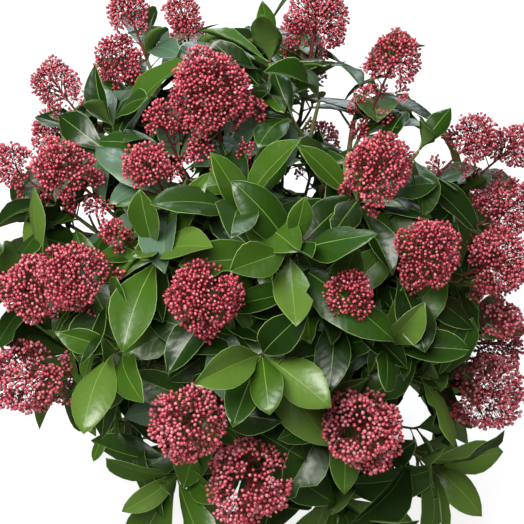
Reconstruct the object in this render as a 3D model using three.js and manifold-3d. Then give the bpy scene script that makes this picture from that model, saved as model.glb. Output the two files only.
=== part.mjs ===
// Skimmia in bud: an evergreen shrub, grown to a leafy globe on one short stem.
//
// The trunk forks low down into a leader and six main boughs, and each main bough bears a side
// bough and a skirt bough. Every limb's tip carries one mass of foliage: a stem that forks into
// shoots, each with a whorl of leaves at its end and most with a domed head of flower buds.
//
// Millimetres and degrees. +Z is up, and the origin is where the trunk meets the ground.

import * as THREE from 'three';
import { mergeVertices } from 'three/addons/utils/BufferGeometryUtils.js';
import Module from 'manifold-3d';

const wasm = await Module();
wasm.setup();

// ---------------------------------------------------------------- driving sizes

const CROWN_HEIGHT = 268; // the crown's centre stands this high
const BOUGH_REACH = 118; // limbs end this far from the crown's centre
const LEAFY_REACH = 218; // shoots with leaves only end this far from it
const BUD_REACH = 245; // flower heads are centred this far from it, unless a shoot says otherwise
const GAP = 0.3; // air between neighbouring solids
const SLIVER = 0.06; // anything thinner than this is smoothed away

const TRUNK = { height: 122, foot: 14, top: 10, flare: 8, flareHeight: 11, lean: 8, sides: 10, steps: 5 };
const LEADER = { foot: 8, tip: 4.6, bearing: 60, rise: 86, sway: 12 };
const MAIN = { count: 6, bearing: 30, rise: 40, foot: 6.8, tip: 4.4, lowest: 46, spacing: 8 };
const SIDE = { rise: 6, turn: 30, foot: 4.8, tip: 3.8, leaves: 0.42 };
const SKIRT = { rise: -27, turn: 0, foot: 4.8, tip: 3.8, leaves: 0.2 };
const LIMB = { sides: 5, steps: 4, spring: 0.36 };

const STEM = { length: 15, radius: 4.4 }; // the foot of a mass, up to its fork
const TWIG = { foot: 3.6, tip: 2.5, sides: 3, steps: 3, sunk: 5, spring: 0.4 };
const LEAFY_END = 40; // the straight end of a shoot, which carries its whorl
const STALK = 50; // from the end of the shoot to the middle of its flower head

const LEAF = { count: 8, length: 94, width: 0.41, thick: 0.028, fold: 0.24 };
const TURNED = [0, -0.2, 0.2, -0.4, 0.4]; // how far a leaf turns up its twig to find room
const WHORL = { lowest: 28, spacing: 4.6, goldenTurn: 137.5 };
const BUD_TILT = { lowest: 84, step: 4.5 }; // leaves below a flower head lie flatter
const LEAFY_TILT = { lowest: 79, step: 6.5 };
const HEAD = { radius: 35, tall: 1.2, seed: 1000 };

const SPIRAL = { count: 130, lowest: -46, apart: 17 }; // the even spread of the other shoots
const IN_BUD = { from: -18, to: 48, between: 0.7, beyond: 0.25 }; // how many of those flower, by rise

const LIGHT_PULL = 0.4; // how far leaf blades turn to the light
const RISE_PULL = 0.46; // how far limbs and shoots bend upward

// The flower heads of the front, by bearing and rise about the crown's centre, radius and, where
// they aren't BUD_REACH and STALK, how far out the head stands and the length of its stalk.
const FRONT_BUDS = [
  // over the top
  [142, 54, 25, 280],
  [146, 46, 27],
  [126, 59, 22, 254],
  [-122, 70, 44, 245, 100],
  [-147, 61, 20, 225],
  [57, 67, 38, 245, 62],
  [9, 60, 30, 250, 88],
  // to the left
  [162, 38, 26, 267, 66],
  [-159, 38, 31, 245, 62],
  [175, 22, 25, 267, 66],
  [-129, 50, 25],
  [-151, 12, 34],
  [-137, 22, 34],
  [-157, -16, 40, 256],
  [-134, 34, 14, 230],
  // to the right
  [-2, 36, 27, 245, 70],
  [7, 25, 27, 268, 70],
  [1, 14, 32],
  [-51, 49, 35],
  [-47, 29, 34],
  [-23, 15, 35],
  [-21, -1, 20],
  [-25, -19, 40, 254],
  // low in front
  [-70, 26, 25],
  [-103, 27, 37],
  [-105, -2, 37],
  [-93, -20, 42],
  [-68, -6, 40],
];

// The shoots of the front with leaves only, by bearing, rise, the way that their lowest leaf points,
// clockwise from the top, and, where it isn't LEAFY_REACH, how far out they end.
const FRONT_LEAFY = [
  [-82, 37, 352, 228],
  [-127, 6, 268],
  [-121, 33, 333],
  [-97, 47, 295, 206],
  [-90, 13, 148],
  [-60, 10, 0],
  [-115, -34, 228, 228],
  [-43, -31, 130, 258],
  [-43, -8, 138],
  [-141, -32, 200],
  [-173, 50, 300],
  [-40, 72, 50],
  [-18, 46, 60],
  [60, 86, 330],
  [-66, -43, 150, 244],
];

// Where the sky shows through the crown and past its edge, to an eye in front and above: how far
// to the right and how far up from the crown's centre, and the opening's radius.
const EYE = { rise: 35, distance: 1700 };
const OPENINGS = [
  // through the crown
  [84, 130, 12],
  [48, 144, 9],
  [75, 178, 9],
  [38, 81, 8],
  [148, 126, 6],
  [174, 106, 9],
  [-78, 95, 8],
  [-168, 46, 13],
  [150, -150, 11],
  // past its edge
  [188, 190, 28],
  [240, 170, 18],
  [163, 177, 14],
  [93, 218, 12],
  [-28, 258, 16],
  [-190, 222, 24],
  [-236, 172, 16],
  [-234, 122, 8],
  [-212, -208, 38],
];
const OPENING = { deep: 320, steps: 8, sides: 6, margin: 6, share: 0.5 };

const BARK = new THREE.MeshStandardMaterial({ color: 0x6b6046, roughness: 0.85, metalness: 0 });
const GREEN_BARK = new THREE.MeshStandardMaterial({ color: 0x6a7440, roughness: 0.75, metalness: 0 });
const FOLIAGE = new THREE.MeshStandardMaterial({ color: 0x3f6a2c, roughness: 0.45, metalness: 0 });

// ---------------------------------------------------------------- small tools

const UP = new THREE.Vector3(0, 0, 1);
const CROWN = new THREE.Vector3(0, 0, CROWN_HEIGHT);
const radians = THREE.MathUtils.degToRad;
const lerp = THREE.MathUtils.lerp;

function direction(bearing, rise) {
  const flat = Math.cos(radians(rise));
  return new THREE.Vector3(
    flat * Math.cos(radians(bearing)),
    flat * Math.sin(radians(bearing)),
    Math.sin(radians(rise)),
  );
}

// A repeatable source of numbers from 0 to 1.
function seeded(seed) {
  let state = (seed + 1) * 7919;
  const next = () => {
    state = (state * 16807) % 2147483647;
    return state / 2147483647;
  };
  next();
  return next;
}

// The way that growth heads at a place on the crown: outward, pulled toward the light.
function growth(outward) {
  return outward.clone().addScaledVector(UP, RISE_PULL).normalize();
}

// The first of two vectors square to each other, turned toward the second.
function turnedFrom(first, second, angle) {
  return first.clone().multiplyScalar(Math.cos(angle)).addScaledVector(second, Math.sin(angle));
}

// A unit vector square to one line, as near as can be to another.
function squareTo(line, near) {
  return near.clone().addScaledVector(line, -near.dot(line)).normalize();
}

// ---------------------------------------------------------------- solids

// The solid of a closed geometry whose points are each moved by place().
function solidFrom(geometry, place) {
  geometry.deleteAttribute('normal');
  geometry.deleteAttribute('uv');
  const merged = mergeVertices(geometry);
  const position = merged.getAttribute('position');
  const point = new THREE.Vector3();
  for (let i = 0; i < position.count; i += 1) {
    const placed = place(point.fromBufferAttribute(position, i));
    position.setXYZ(i, placed.x, placed.y, placed.z);
  }
  const vertProperties = Float32Array.from(position.array);
  const triVerts = Uint32Array.from(merged.index.array);
  return new wasm.Manifold(new wasm.Mesh({ numProp: 3, vertProperties, triVerts }));
}

function meshFrom(name, solid, material) {
  const { vertProperties, triVerts } = solid.getMesh();
  const geometry = new THREE.BufferGeometry();
  geometry.setAttribute('position', new THREE.BufferAttribute(vertProperties, 3));
  geometry.setIndex(new THREE.BufferAttribute(triVerts, 1));
  geometry.computeVertexNormals();
  const mesh = new THREE.Mesh(geometry, material);
  mesh.name = name;
  return mesh;
}

// A limb: a cylinder whose rings follow a curve, with its radius at each point from girth().
function limbSolid(curve, girth, sides, steps) {
  const chord = curve.getPoint(1).sub(curve.getPoint(0)).normalize();
  const level = chord.clone().cross(UP);
  const aside = level.length() > 0.05 ? level.normalize() : new THREE.Vector3(1, 0, 0);
  return solidFrom(new THREE.CylinderGeometry(1, 1, 1, sides, steps), (point) => {
    const t = point.y + 0.5;
    const ahead = curve.getTangent(t);
    const across = squareTo(ahead, aside);
    const depth = across.clone().cross(ahead);
    const radius = girth(t);
    return curve.getPoint(t)
      .addScaledVector(across, point.x * radius)
      .addScaledVector(depth, point.z * radius);
  });
}

// One leaf, arched along its length and folded along its midrib.
function leafSolid({ base, along, upper, length, arch }) {
  const side = along.clone().cross(upper);
  return solidFrom(new THREE.SphereGeometry(1, 6, 2), (point) => {
    const u = 0.5 + 0.5 * Math.sign(point.x) * Math.abs(point.x) ** 1.5;
    const bend = arch * u;
    const halfWidth = 0.5 * LEAF.width * length * point.z;
    const lift = 0.5 * LEAF.thick * length * point.y + LEAF.fold * Math.abs(halfWidth);
    return base.clone()
      .addScaledVector(along, length * Math.sin(bend) / arch)
      .addScaledVector(upper, lift - length * (1 - Math.cos(bend)) / arch)
      .addScaledVector(side, halfWidth);
  });
}

// One flower head: a lumpy dome of buds about the end of its stalk.
function headSolid(middle, axis, radius, next) {
  const across = squareTo(axis, UP);
  const depth = across.clone().cross(axis);
  return solidFrom(new THREE.IcosahedronGeometry(radius), (point) => {
    const lump = lerp(0.92, 1.1, next());
    return middle.clone()
      .addScaledVector(across, point.x * lump)
      .addScaledVector(axis, point.y * lump * HEAD.tall)
      .addScaledVector(depth, point.z * lump);
  });
}

// One closed body: hollows that fusing seals are filled, and loose scraps dropped.
function oneBody(solid) {
  const bodies = solid.asOriginal().simplify(SLIVER).decompose();
  return bodies.reduce((largest, body) => (body.volume() > largest.volume() ? body : largest));
}

// ---------------------------------------------------------------- limbs

// A limb that springs from one place toward one heading and arrives at another along its growth.
function limbCurve(root, leaving, tip, arriving) {
  const spring = LIMB.spring * root.distanceTo(tip);
  const first = root.clone().addScaledVector(leaving, spring);
  const second = tip.clone().addScaledVector(arriving, -spring);
  return new THREE.CubicBezierCurve3(root, first, second, tip);
}

function taper(foot, tip) {
  return (t) => lerp(foot, tip, t);
}

function trunkCurve() {
  const top = new THREE.Vector3(TRUNK.lean, 0.5 * TRUNK.lean, TRUNK.height);
  const low = new THREE.Vector3(0, 0, 0.35 * TRUNK.height);
  const high = top.clone().addScaledVector(UP, -0.3 * TRUNK.height);
  return new THREE.CubicBezierCurve3(new THREE.Vector3(), low, high, top);
}

function trunkGirth(t) {
  const flare = TRUNK.flare * Math.exp(-t * TRUNK.height / TRUNK.flareHeight);
  return lerp(TRUNK.foot, TRUNK.top, t) + flare;
}

function grown(girth) {
  return (t) => girth(t) + GAP;
}

// Every limb, with the way to its tip's mass. Each is cut clear of the limb that bears it.
function growLimbs() {
  const limbs = [];
  const add = (name, curve, girth, shape, parent) => {
    let solid = limbSolid(curve, girth, shape.sides, shape.steps);
    if (parent) {
      const cutter = limbSolid(parent.curve, grown(parent.girth), parent.shape.sides, parent.shape.steps);
      solid = oneBody(solid.subtract(cutter));
    }
    const limb = { name, curve, girth, shape, solid };
    limbs.push(limb);
    return limb;
  };
  const branch = (name, parent, at, form, bearing) => {
    const outward = direction(bearing, form.rise);
    const tip = CROWN.clone().addScaledVector(outward, BOUGH_REACH);
    const root = parent.curve.getPoint(at);
    const leaving = direction(bearing, 0.5 * form.rise + 30);
    const curve = limbCurve(root, leaving, tip, growth(outward));
    const limb = add(name, curve, taper(form.foot, form.tip), LIMB, parent);
    limb.outward = outward;
    return limb;
  };

  const trunk = add('trunk', trunkCurve(), trunkGirth, TRUNK);
  const top = trunk.curve.getPoint(1).addScaledVector(UP, GAP);
  const leaderOutward = direction(LEADER.bearing, LEADER.rise);
  const leaderTip = CROWN.clone().addScaledVector(leaderOutward, BOUGH_REACH);
  const sway = top.clone().lerp(leaderTip, 0.6).add(new THREE.Vector3(-LEADER.sway, LEADER.sway, 0));
  const rising = top.clone().lerp(leaderTip, 0.3).setX(top.x).setY(top.y);
  const leaderCurve = new THREE.CubicBezierCurve3(top, rising, sway, leaderTip);
  add('leader', leaderCurve, taper(LEADER.foot, LEADER.tip), LIMB).outward = leaderOutward;

  for (let k = 0; k < MAIN.count; k += 1) {
    const bearing = MAIN.bearing + k * 360 / MAIN.count;
    const order = (k * 3 + Math.floor(k / 2)) % MAIN.count; // opposite boughs leave in turn
    const height = MAIN.lowest + order * MAIN.spacing;
    const main = branch(`main_bough_${k + 1}`, trunk, height / TRUNK.height, MAIN, bearing);
    branch(`side_bough_${k + 1}`, main, SIDE.leaves, SIDE, bearing + SIDE.turn);
    branch(`skirt_bough_${k + 1}`, main, SKIRT.leaves, SKIRT, bearing + SKIRT.turn);
  }
  return limbs;
}

// ---------------------------------------------------------------- openings

// The lines of sight through the openings, from near to far, with their radii.
function sightLines() {
  const toEye = direction(-90, EYE.rise);
  const eye = CROWN.clone().addScaledVector(toEye, EYE.distance);
  const upward = squareTo(toEye, UP);
  return OPENINGS.map(([right, up, radius]) => {
    const middle = CROWN.clone().addScaledVector(upward, up).setX(right);
    const ahead = middle.clone().sub(eye).setLength(OPENING.deep);
    return { line: new THREE.Line3(middle.clone().sub(ahead), middle.add(ahead)), radius };
  });
}

// Whether a shoot that ends at this point would stand in an opening.
function standsInOpening(point, headRadius) {
  const nearest = new THREE.Vector3();
  return sightLines().some(({ line, radius }) => {
    line.closestPointToPoint(point, true, nearest);
    return nearest.distanceTo(point) < radius + OPENING.margin + OPENING.share * headRadius;
  });
}

// The openings as short solids in a row, which leaves keep clear of.
function openingSolids() {
  return sightLines().flatMap(({ line, radius }) => (
    Array.from({ length: OPENING.steps }, (_, i) => {
      const near = line.at(i / OPENING.steps, new THREE.Vector3());
      const far = line.at((i + 1) / OPENING.steps, new THREE.Vector3());
      const solid = limbSolid(new THREE.LineCurve3(near, far), () => radius, OPENING.sides, 1);
      return { solid, box: boxOf(solid) };
    })
  ));
}

// ---------------------------------------------------------------- shoots

// The even spiral of directions over a globe, each as [bearing, rise].
function spiral() {
  const turns = [];
  for (let i = 0; i < SPIRAL.count; i += 1) {
    const rise = THREE.MathUtils.radToDeg(Math.asin(1 - (2 * i + 1) / SPIRAL.count));
    turns.push([i * WHORL.goldenTurn, rise]);
  }
  return turns;
}

// Where every shoot ends: those of the front, then the rest spread evenly between and behind them.
function shootPlaces() {
  const places = [
    ...FRONT_LEAFY.map(([bearing, rise, turn, reach = LEAFY_REACH]) => (
      { outward: direction(bearing, rise), radius: 0, reach, turn }
    )),
    ...FRONT_BUDS.map(([bearing, rise, radius, reach = BUD_REACH, stalk = STALK]) => (
      { outward: direction(bearing, rise), radius, reach, stalk }
    )),
  ];
  spiral().forEach(([bearing, rise], i) => {
    const next = seeded(500 + i);
    const outward = direction(bearing, rise);
    const nearest = Math.max(...places.map((place) => place.outward.dot(outward)));
    if (rise < SPIRAL.lowest || nearest > Math.cos(radians(SPIRAL.apart))) {
      return;
    }
    const share = rise > IN_BUD.from && rise < IN_BUD.to ? IN_BUD.between : IN_BUD.beyond;
    const radius = next() < share ? HEAD.radius * lerp(0.75, 1.15, next()) : 0;
    const reach = (radius ? BUD_REACH : LEAFY_REACH) + lerp(-6, 10, next());
    if (!standsInOpening(CROWN.clone().addScaledVector(outward, reach), radius)) {
      places.push({ outward, radius, reach, stalk: STALK });
    }
  });
  return places;
}

// A shoot's line: a bend from the fork, then the straight end that carries leaves and flower.
class ShootLine extends THREE.Curve {
  constructor(fork, leaving, foot, axis, end) {
    super();
    this.foot = foot;
    this.end = end;
    const spring = TWIG.spring * fork.distanceTo(foot);
    const first = fork.clone().addScaledVector(leaving, spring);
    const second = foot.clone().addScaledVector(axis, -spring);
    this.bend = new THREE.CubicBezierCurve3(fork, first, second, foot);
  }

  getPoint(t, target = new THREE.Vector3()) {
    const straight = 1 / TWIG.steps;
    if (t > 1 - straight) {
      return target.lerpVectors(this.foot, this.end, (t - 1 + straight) / straight);
    }
    return this.bend.getPoint(t / (1 - straight), target);
  }
}

// The leaves of one shoot, from the lowest and flattest to the upper ones, by the golden turn.
function whorl({ end, axis, tilt, next, turn = 360 * next() }) {
  const across = squareTo(axis, UP);
  const depth = across.clone().cross(axis);
  const leaves = [];
  for (let i = 0; i < LEAF.count; i += 1) {
    const around = radians(turn + i * WHORL.goldenTurn + lerp(-9, 9, next()));
    const lean = radians(tilt.lowest - i * tilt.step + lerp(-6, 6, next()));
    const length = LEAF.length * (1.06 - 0.03 * i) * lerp(0.88, 1.1, next());
    const arch = lerp(0.2, 0.6, next());
    const outward = turnedFrom(across, depth, around);
    const along = turnedFrom(axis, outward, lean);
    const face = turnedFrom(outward.negate(), axis, lean);
    const upper = squareTo(along, face.addScaledVector(UP, LIGHT_PULL));
    const base = end.clone().addScaledVector(axis, i * WHORL.spacing - WHORL.lowest);
    leaves.push({ base, along, upper, length, arch });
  }
  return leaves;
}

// ---------------------------------------------------------------- masses

// Solids that keep their space. What grows on a twig is cleared of all but that twig.
const taken = [];

function keep(solid, twig) {
  taken.push({ solid, twig, box: boxOf(solid) });
  return solid;
}

function boxOf(solid) {
  const { min, max } = solid.boundingBox();
  return new THREE.Box3(new THREE.Vector3(...min), new THREE.Vector3(...max)).expandByScalar(GAP);
}

// Whether a solid lies clear of others, apart from the twig that it grows on.
function isClear(solid, others, twig = null) {
  const box = boxOf(solid);
  return others.every((other) => (
    other.twig === twig || !box.intersectsBox(other.box) || solid.minGap(other.solid, GAP) >= GAP
  ));
}

function growShoot(mass, place, index) {
  const axis = growth(place.outward);
  const tip = CROWN.clone().addScaledVector(place.outward, place.reach);
  const end = tip.clone().addScaledVector(axis, place.radius ? -place.stalk : 0);
  const foot = end.clone().addScaledVector(axis, -LEAFY_END);
  const leaving = foot.clone().sub(mass.fork).normalize().lerp(mass.heading, 0.35).normalize();
  const line = new ShootLine(mass.fork, leaving, foot, axis, tip);
  const tilt = place.radius ? BUD_TILT : LEAFY_TILT;
  const shoot = { twig: index, mass, end, axis, tilt, next: seeded(index), turn: place.turn };
  mass.pieces.push(keep(limbSolid(line, taper(TWIG.foot, TWIG.tip), TWIG.sides, TWIG.steps), index));
  if (place.radius) {
    growHead(shoot, tip, place.radius);
  }
  return shoot;
}

// A flower head, where its neighbours leave it room.
function growHead(shoot, tip, radius) {
  const head = headSolid(tip, shoot.axis, radius, seeded(HEAD.seed + shoot.twig));
  if (isClear(head, taken, shoot.twig)) {
    shoot.mass.pieces.push(keep(head));
  }
}

// A leaf as the rule has it, or turned up and shorter where it has less room, or none.
function growLeaf(shoot, leaf, openings) {
  for (const turned of TURNED) {
    const along = leaf.along.clone().addScaledVector(shoot.axis, turned).normalize();
    const length = leaf.length * (1 - 0.5 * Math.abs(turned));
    const solid = leafSolid({ ...leaf, along, length, upper: squareTo(along, leaf.upper) });
    if (isClear(solid, openings) && isClear(solid, taken, shoot.twig)) {
      shoot.mass.pieces.push(keep(solid));
      return;
    }
  }
}

function growMasses(limbs) {
  const masses = limbs.filter((limb) => limb.outward).map((limb) => {
    const name = limb.name === 'leader' ? 'mass_top' : limb.name.replace('bough', 'mass');
    const heading = limb.curve.getTangent(1);
    const foot = limb.curve.getPoint(1).addScaledVector(heading, GAP);
    const end = foot.clone().addScaledVector(heading, STEM.length);
    const fork = end.clone().addScaledVector(heading, -TWIG.sunk);
    const stem = limbSolid(new THREE.LineCurve3(foot, end), () => STEM.radius, TWIG.sides, 1);
    return { name, outward: limb.outward, heading, fork, pieces: [keep(stem)] };
  });
  const shoots = shootPlaces().map((place, index) => {
    const nearness = (mass) => mass.outward.dot(place.outward);
    const mass = masses.reduce((best, other) => (nearness(other) > nearness(best) ? other : best));
    return growShoot(mass, place, index);
  });
  const leaves = shoots.map(whorl);
  const openings = openingSolids();
  for (let i = 0; i < LEAF.count; i += 1) {
    shoots.forEach((shoot, index) => growLeaf(shoot, leaves[index][i], openings));
  }
  return masses;
}

// ---------------------------------------------------------------- the plant

const skimmia = new THREE.Group();
const limbs = growLimbs();
limbs.forEach((limb) => {
  const material = limb.name === 'trunk' ? BARK : GREEN_BARK;
  keep(limb.solid);
  skimmia.add(meshFrom(limb.name, limb.solid, material.clone()));
});
growMasses(limbs).forEach((mass) => {
  const solid = oneBody(mass.pieces.reduce((sum, piece) => sum.add(piece)));
  skimmia.add(meshFrom(mass.name, solid, FOLIAGE.clone()));
});

export default skimmia;
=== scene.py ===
# Skimmia in bud: the looks of an evergreen shrub, grown on from its packed trunk and boughs.
#
# Each mass of foliage is grown again by the rule of its solid: a shoot to every place on the
# crown, with a whorl of leaves at its end and most with a domed head of flower buds. Here the
# rule goes on to side twigs, inner and older leaves, and to every bud on its own stalk.
#
# The rule works in millimetres, as the part's source does, and meshes are built in metres.

import math
from types import SimpleNamespace as Sizes

import bpy
import numpy as np
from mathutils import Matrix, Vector


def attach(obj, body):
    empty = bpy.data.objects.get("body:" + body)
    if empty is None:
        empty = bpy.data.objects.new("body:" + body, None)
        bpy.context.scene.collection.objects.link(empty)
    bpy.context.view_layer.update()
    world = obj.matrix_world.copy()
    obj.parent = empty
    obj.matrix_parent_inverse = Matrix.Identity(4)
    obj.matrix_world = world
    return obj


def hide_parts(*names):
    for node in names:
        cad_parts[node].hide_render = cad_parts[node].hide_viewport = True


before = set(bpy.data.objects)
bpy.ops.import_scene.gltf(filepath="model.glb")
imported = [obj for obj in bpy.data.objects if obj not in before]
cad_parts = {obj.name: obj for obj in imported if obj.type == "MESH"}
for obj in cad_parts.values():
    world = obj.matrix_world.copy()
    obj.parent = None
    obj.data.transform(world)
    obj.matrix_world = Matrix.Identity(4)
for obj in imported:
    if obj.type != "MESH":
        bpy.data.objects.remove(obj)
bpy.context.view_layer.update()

# ---- sizes shared with the solids

CROWN_HEIGHT = 268  # the crown's centre stands this high
BOUGH_REACH = 118  # limbs end this far from the crown's centre
LEAFY_REACH = 218  # shoots with leaves only end this far from it
BUD_REACH = 245  # flower heads are centred this far from it, unless a shoot says otherwise

TRUNK = Sizes(height=122, foot=14, top=10, flare=8, flare_height=11, lean=8, upright=(0.35, 0.3))
LEADER = Sizes(foot=8, tip=4.6, bearing=60, rise=86, sway=12, bends=(0.3, 0.6))
MAIN = Sizes(count=6, bearing=30, rise=40, foot=6.8, tip=4.4, lowest=46, spacing=8)
SIDE = Sizes(rise=6, turn=30, foot=4.8, tip=3.8, leaves=0.42)
SKIRT = Sizes(rise=-27, turn=0, foot=4.8, tip=3.8, leaves=0.2)
LEAVING = Sizes(flatter=0.5, lift=30)  # a bough leaves its parent at this share of its rise, lifted
LIMB_SPRING = 0.36

STEM = 15  # the foot of a mass, up to its fork
TWIG = Sizes(sunk=5, spring=0.4, ahead=0.35)
LEAFY_END = 40  # the straight end of a shoot, which carries its whorl
STALK = 50  # from the end of the shoot to the middle of its flower head

LEAF = Sizes(count=8, length=94, width=0.41, fold=0.24)
TURNED = (0, -0.2, 0.2, -0.4, 0.4)  # how far a leaf turns up its twig to find room
TURNED_SHORTER = 0.5  # and how much shorter it is for that
WHORL = Sizes(lowest=28, spacing=4.6, longest=1.06, shorter=0.03)
GOLDEN_TURN = 137.5
BUD_TILT = (84, 4.5)  # the lowest leaf's tilt, and how much less each next leaf has
LEAFY_TILT = (79, 6.5)
HEAD = Sizes(radius=35, tall=1.2)

SPIRAL = Sizes(count=130, lowest=-46, apart=17, radius=(0.75, 1.15), reach=(-6, 10))
IN_BUD = Sizes(low=-18, high=48, between=0.7, beyond=0.25)
LIGHT_PULL = 0.4
RISE_PULL = 0.46

# The flower heads of the front: bearing, rise, radius and, where they aren't BUD_REACH and STALK,
# how far out the head stands and the length of its stalk.
FRONT_BUDS = (
    (142, 54, 25, 280), (146, 46, 27), (126, 59, 22, 254), (-122, 70, 44, 245, 100),
    (-147, 61, 20, 225), (57, 67, 38, 245, 62), (9, 60, 30, 250, 88),
    (162, 38, 26, 267, 66), (-159, 38, 31, 245, 62), (175, 22, 25, 267, 66), (-129, 50, 25),
    (-151, 12, 34), (-137, 22, 34), (-157, -16, 40, 256), (-134, 34, 14, 230),
    (-2, 36, 27, 245, 70), (7, 25, 27, 268, 70), (1, 14, 32), (-51, 49, 35),
    (-47, 29, 34), (-23, 15, 35), (-21, -1, 20), (-25, -19, 40, 254),
    (-70, 26, 25), (-103, 27, 37), (-105, -2, 37), (-93, -20, 42), (-68, -6, 40),
)

# The shoots of the front with leaves only: bearing, rise, the way that their lowest leaf points
# and, where it isn't LEAFY_REACH, how far out they end.
FRONT_LEAFY = (
    (-82, 37, 352, 228), (-127, 6, 268), (-121, 33, 333), (-97, 47, 295, 206),
    (-90, 13, 148), (-60, 10, 0), (-115, -34, 228, 228), (-43, -31, 130, 258), (-43, -8, 138),
    (-141, -32, 200), (-173, 50, 300), (-40, 72, 50), (-18, 46, 60), (60, 86, 330),
    (-66, -43, 150, 244),
)

# Where the sky shows through the crown and past its edge, to an eye in front and above: how far
# to the right and how far up from the crown's centre, and the opening's radius. The solids don't
# keep the last two clear.
EYE = Sizes(rise=35, distance=1700)
OPENINGS = (
    (84, 130, 12), (48, 144, 9), (75, 178, 9), (38, 81, 8), (148, 126, 6), (174, 106, 9),
    (-78, 95, 8), (-168, 46, 13), (150, -150, 11),
    (188, 190, 28), (240, 170, 18), (163, 177, 14), (93, 218, 12), (-28, 258, 16),
    (-190, 222, 24), (-236, 172, 16), (-234, 122, 8), (-212, -208, 38),
    (108, 240, 14), (-162, -224, 11),
)
OPENING = Sizes(deep=320, margin=6, share=0.5)

# ---- sizes of the finer growth

MM = 0.001
SEEDS = Sizes(trunk=11, boughs=20, twigs=100, spiral=500, heads=1000, foliage=3000)
TRAITS = 100000  # leaves take their shapes from this many seeds

TRUNK_MESH = Sizes(rings=64, sides=36, relief=0.022, ribs=5, rib=0.16, turned=0.7)
BOUGH_MESH = Sizes(spacing=4, fewest=8, sides=10, relief=0.03, collar=0.5, collar_length=12)
STEM_MESH = Sizes(sunk=6, rings=8, sides=12, girth=(4.3, 3.4))
TWIG_MESH = Sizes(bend=20, straight=10, sides=7, relief=0.03, brown=15, girth=(2.9, 1.7))
SIDE_MESH = Sizes(rings=7, sides=6, girth=(1.5, 1.1))
RELIEF = Sizes(rows=4, fine=0.6, scars=0.18, scar=1.3)  # ridges every few rows, and leaf scars

FINE_ROWS = (0, 0.05, 0.1, 0.18, 0.28, 0.39, 0.5, 0.61, 0.72, 0.82, 0.91, 1)
PLAIN_ROWS = (0, 0.06, 0.14, 0.28, 0.44, 0.6, 0.75, 0.89, 1)
PETIOLE = Sizes(share=0.07, half=1.2, thinner=0.75)
BLADE = Sizes(
    thick=0.5, butt=1.1, butt_share=0.06, margin=0.54, inner=0.6, middle=0.55, midrib=0.5, tip=0.16,
    vein=0.4,
)
BITE = Sizes(odds=0.24, middle=(0.4, 0.95), reach=(0.05, 0.1), depth=(0.3, 0.62))
VEIN = Sizes(places="blade", apart=8.5, slant=0.9, waver=6, depth=0.09)

# How blades vary: their curve aside, hump, roll and width, how near the tip they are widest and
# how blunt there, their fold and cup, and their ripples.
SHAPE = Sizes(
    aside=(-0.07, 0.07), hump=(-0.03, 0.09), roll=(-0.5, 0.5), width=(0.84, 1.1),
    widest=(1.08, 1.48), foot=0.85, blunt=(0.64, 1.0), fold=(-0.16, 0.3), cup=(-0.25, 0.6),
    ripple=(0.03, 0.17), ripples=(1.2, 2.6),
)

# The young leaves inside a whorl, the leaves of last year below it, and the side twigs.
INNER = Sizes(count=3, length=0.78, shorter=0.14, tilt=0.75, below=2, spacing=0.5)
OLDER = Sizes(count=4, below=33, spacing=7.5, turn=70, tilt=92, length=0.86, steepest=-0.78)
SIDE_TWIG = Sizes(
    places=(0.45, 0.72, 0.9), turn=200, spread=52, length=34, varied=(0.8, 1.2), light=(0.25, 0.5),
    spring=0.3, leaves=5, below=8, spacing=2, first=50, tilt=(80, 9), leaf=0.74,
)
LEAFY_LENGTH = 1.14  # leaves of shoots without a head grow this much longer than in the solids

# How leaves of each kind vary: their turn around the twig, lean from it, length and arch.
VARIED = dict(
    outer=((-9, 9), (-6, 6), (0.88, 1.1), (0.2, 0.6)),
    inner=((-15, 15), (-7, 7), (0.85, 1.1), (0.2, 0.7)),
    older=((-25, 25), (-14, 14), (0.85, 1.1), (0.4, 0.9)),
    aside=((-15, 15), (-8, 8), (0.85, 1.15), (0.3, 0.8)),
)
ROOM = Sizes(cell=9, crowded=0.3, squeezed=0.2, opening=4, in_sight=0.8, head=0.85)

# A flower head is a dome of lobes, each a cap of small cymes, with smaller lobes along its stalk.
# Pairs named varied or sizes are spans of random draws, and those named girth are for two ends.
# The other pairs change from heads low on the crown to those high on it.
# The same share also deals the bud tones: painted light on low heads, painted shade on high ones.
LATE_RISE = (-6, 27)  # heads lower down have opened further than those higher up
SLIM = Sizes(rise=(0, 60), wide=(1, 0.8))  # heads high on the crown are slimmer
DOME = Sizes(
    fewest=7, more=(0.30, 0.26), lowest=-0.42, out=(0.65, 0.67), jitter=16, fork=0.45, lower=0.5,
    varied=(0.86, 1.06), sizes=(0.82, 1.15),
)
ALONG = Sizes(
    fewest=2, apart=7.5, first=0.55, last=6, turn=40, girth=(0.74, 0.46), climb=8, rising=0.6,
    varied=(0.75, 1.05), sizes=(0.7, 1.1),
)
LOBE = Sizes(
    dome=0.36, along=0.29, knot=0.6, apart=(13.2, 9.4), fewest=3, cap=0.1, jitter=20,
    varied=(0.85, 1.05),
)
CYME = Sizes(buds=6, spread=4.3, below=1.5, node=7, rough=1.0)
BUD = Sizes(radius=(1.78, 1.45), nearest=(3.5, 3.1), stalk=0.34, oval=1.14, sizes=(0.8, 1.14))
# Low heads get more rose and pink, high heads more maroon: painted light on low heads, painted
# shade on high ones.
BUD_TONES_PAINTED_BY_HEIGHT = np.array(((0.30, 0.70, 0.76), (0.56, 0.71, 0.96)))  # where each tone but the last ends
STALK_MESH = Sizes(rings=12, sides=7, sunk=2, girth=(0.06, 0.03), top=0.5)  # the last two in radii
BRANCH_GIRTH = (0.8, 0.5)
PACKED = 0.87  # the room of one point among many, in squares of the distance between them

# ---- small tools

UP = np.array((0.0, 0.0, 1.0))
ODD_WAY = (0.31, 0.17, 0.93)  # a way that nothing in the plant points along
CROWN = CROWN_HEIGHT * UP


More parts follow.
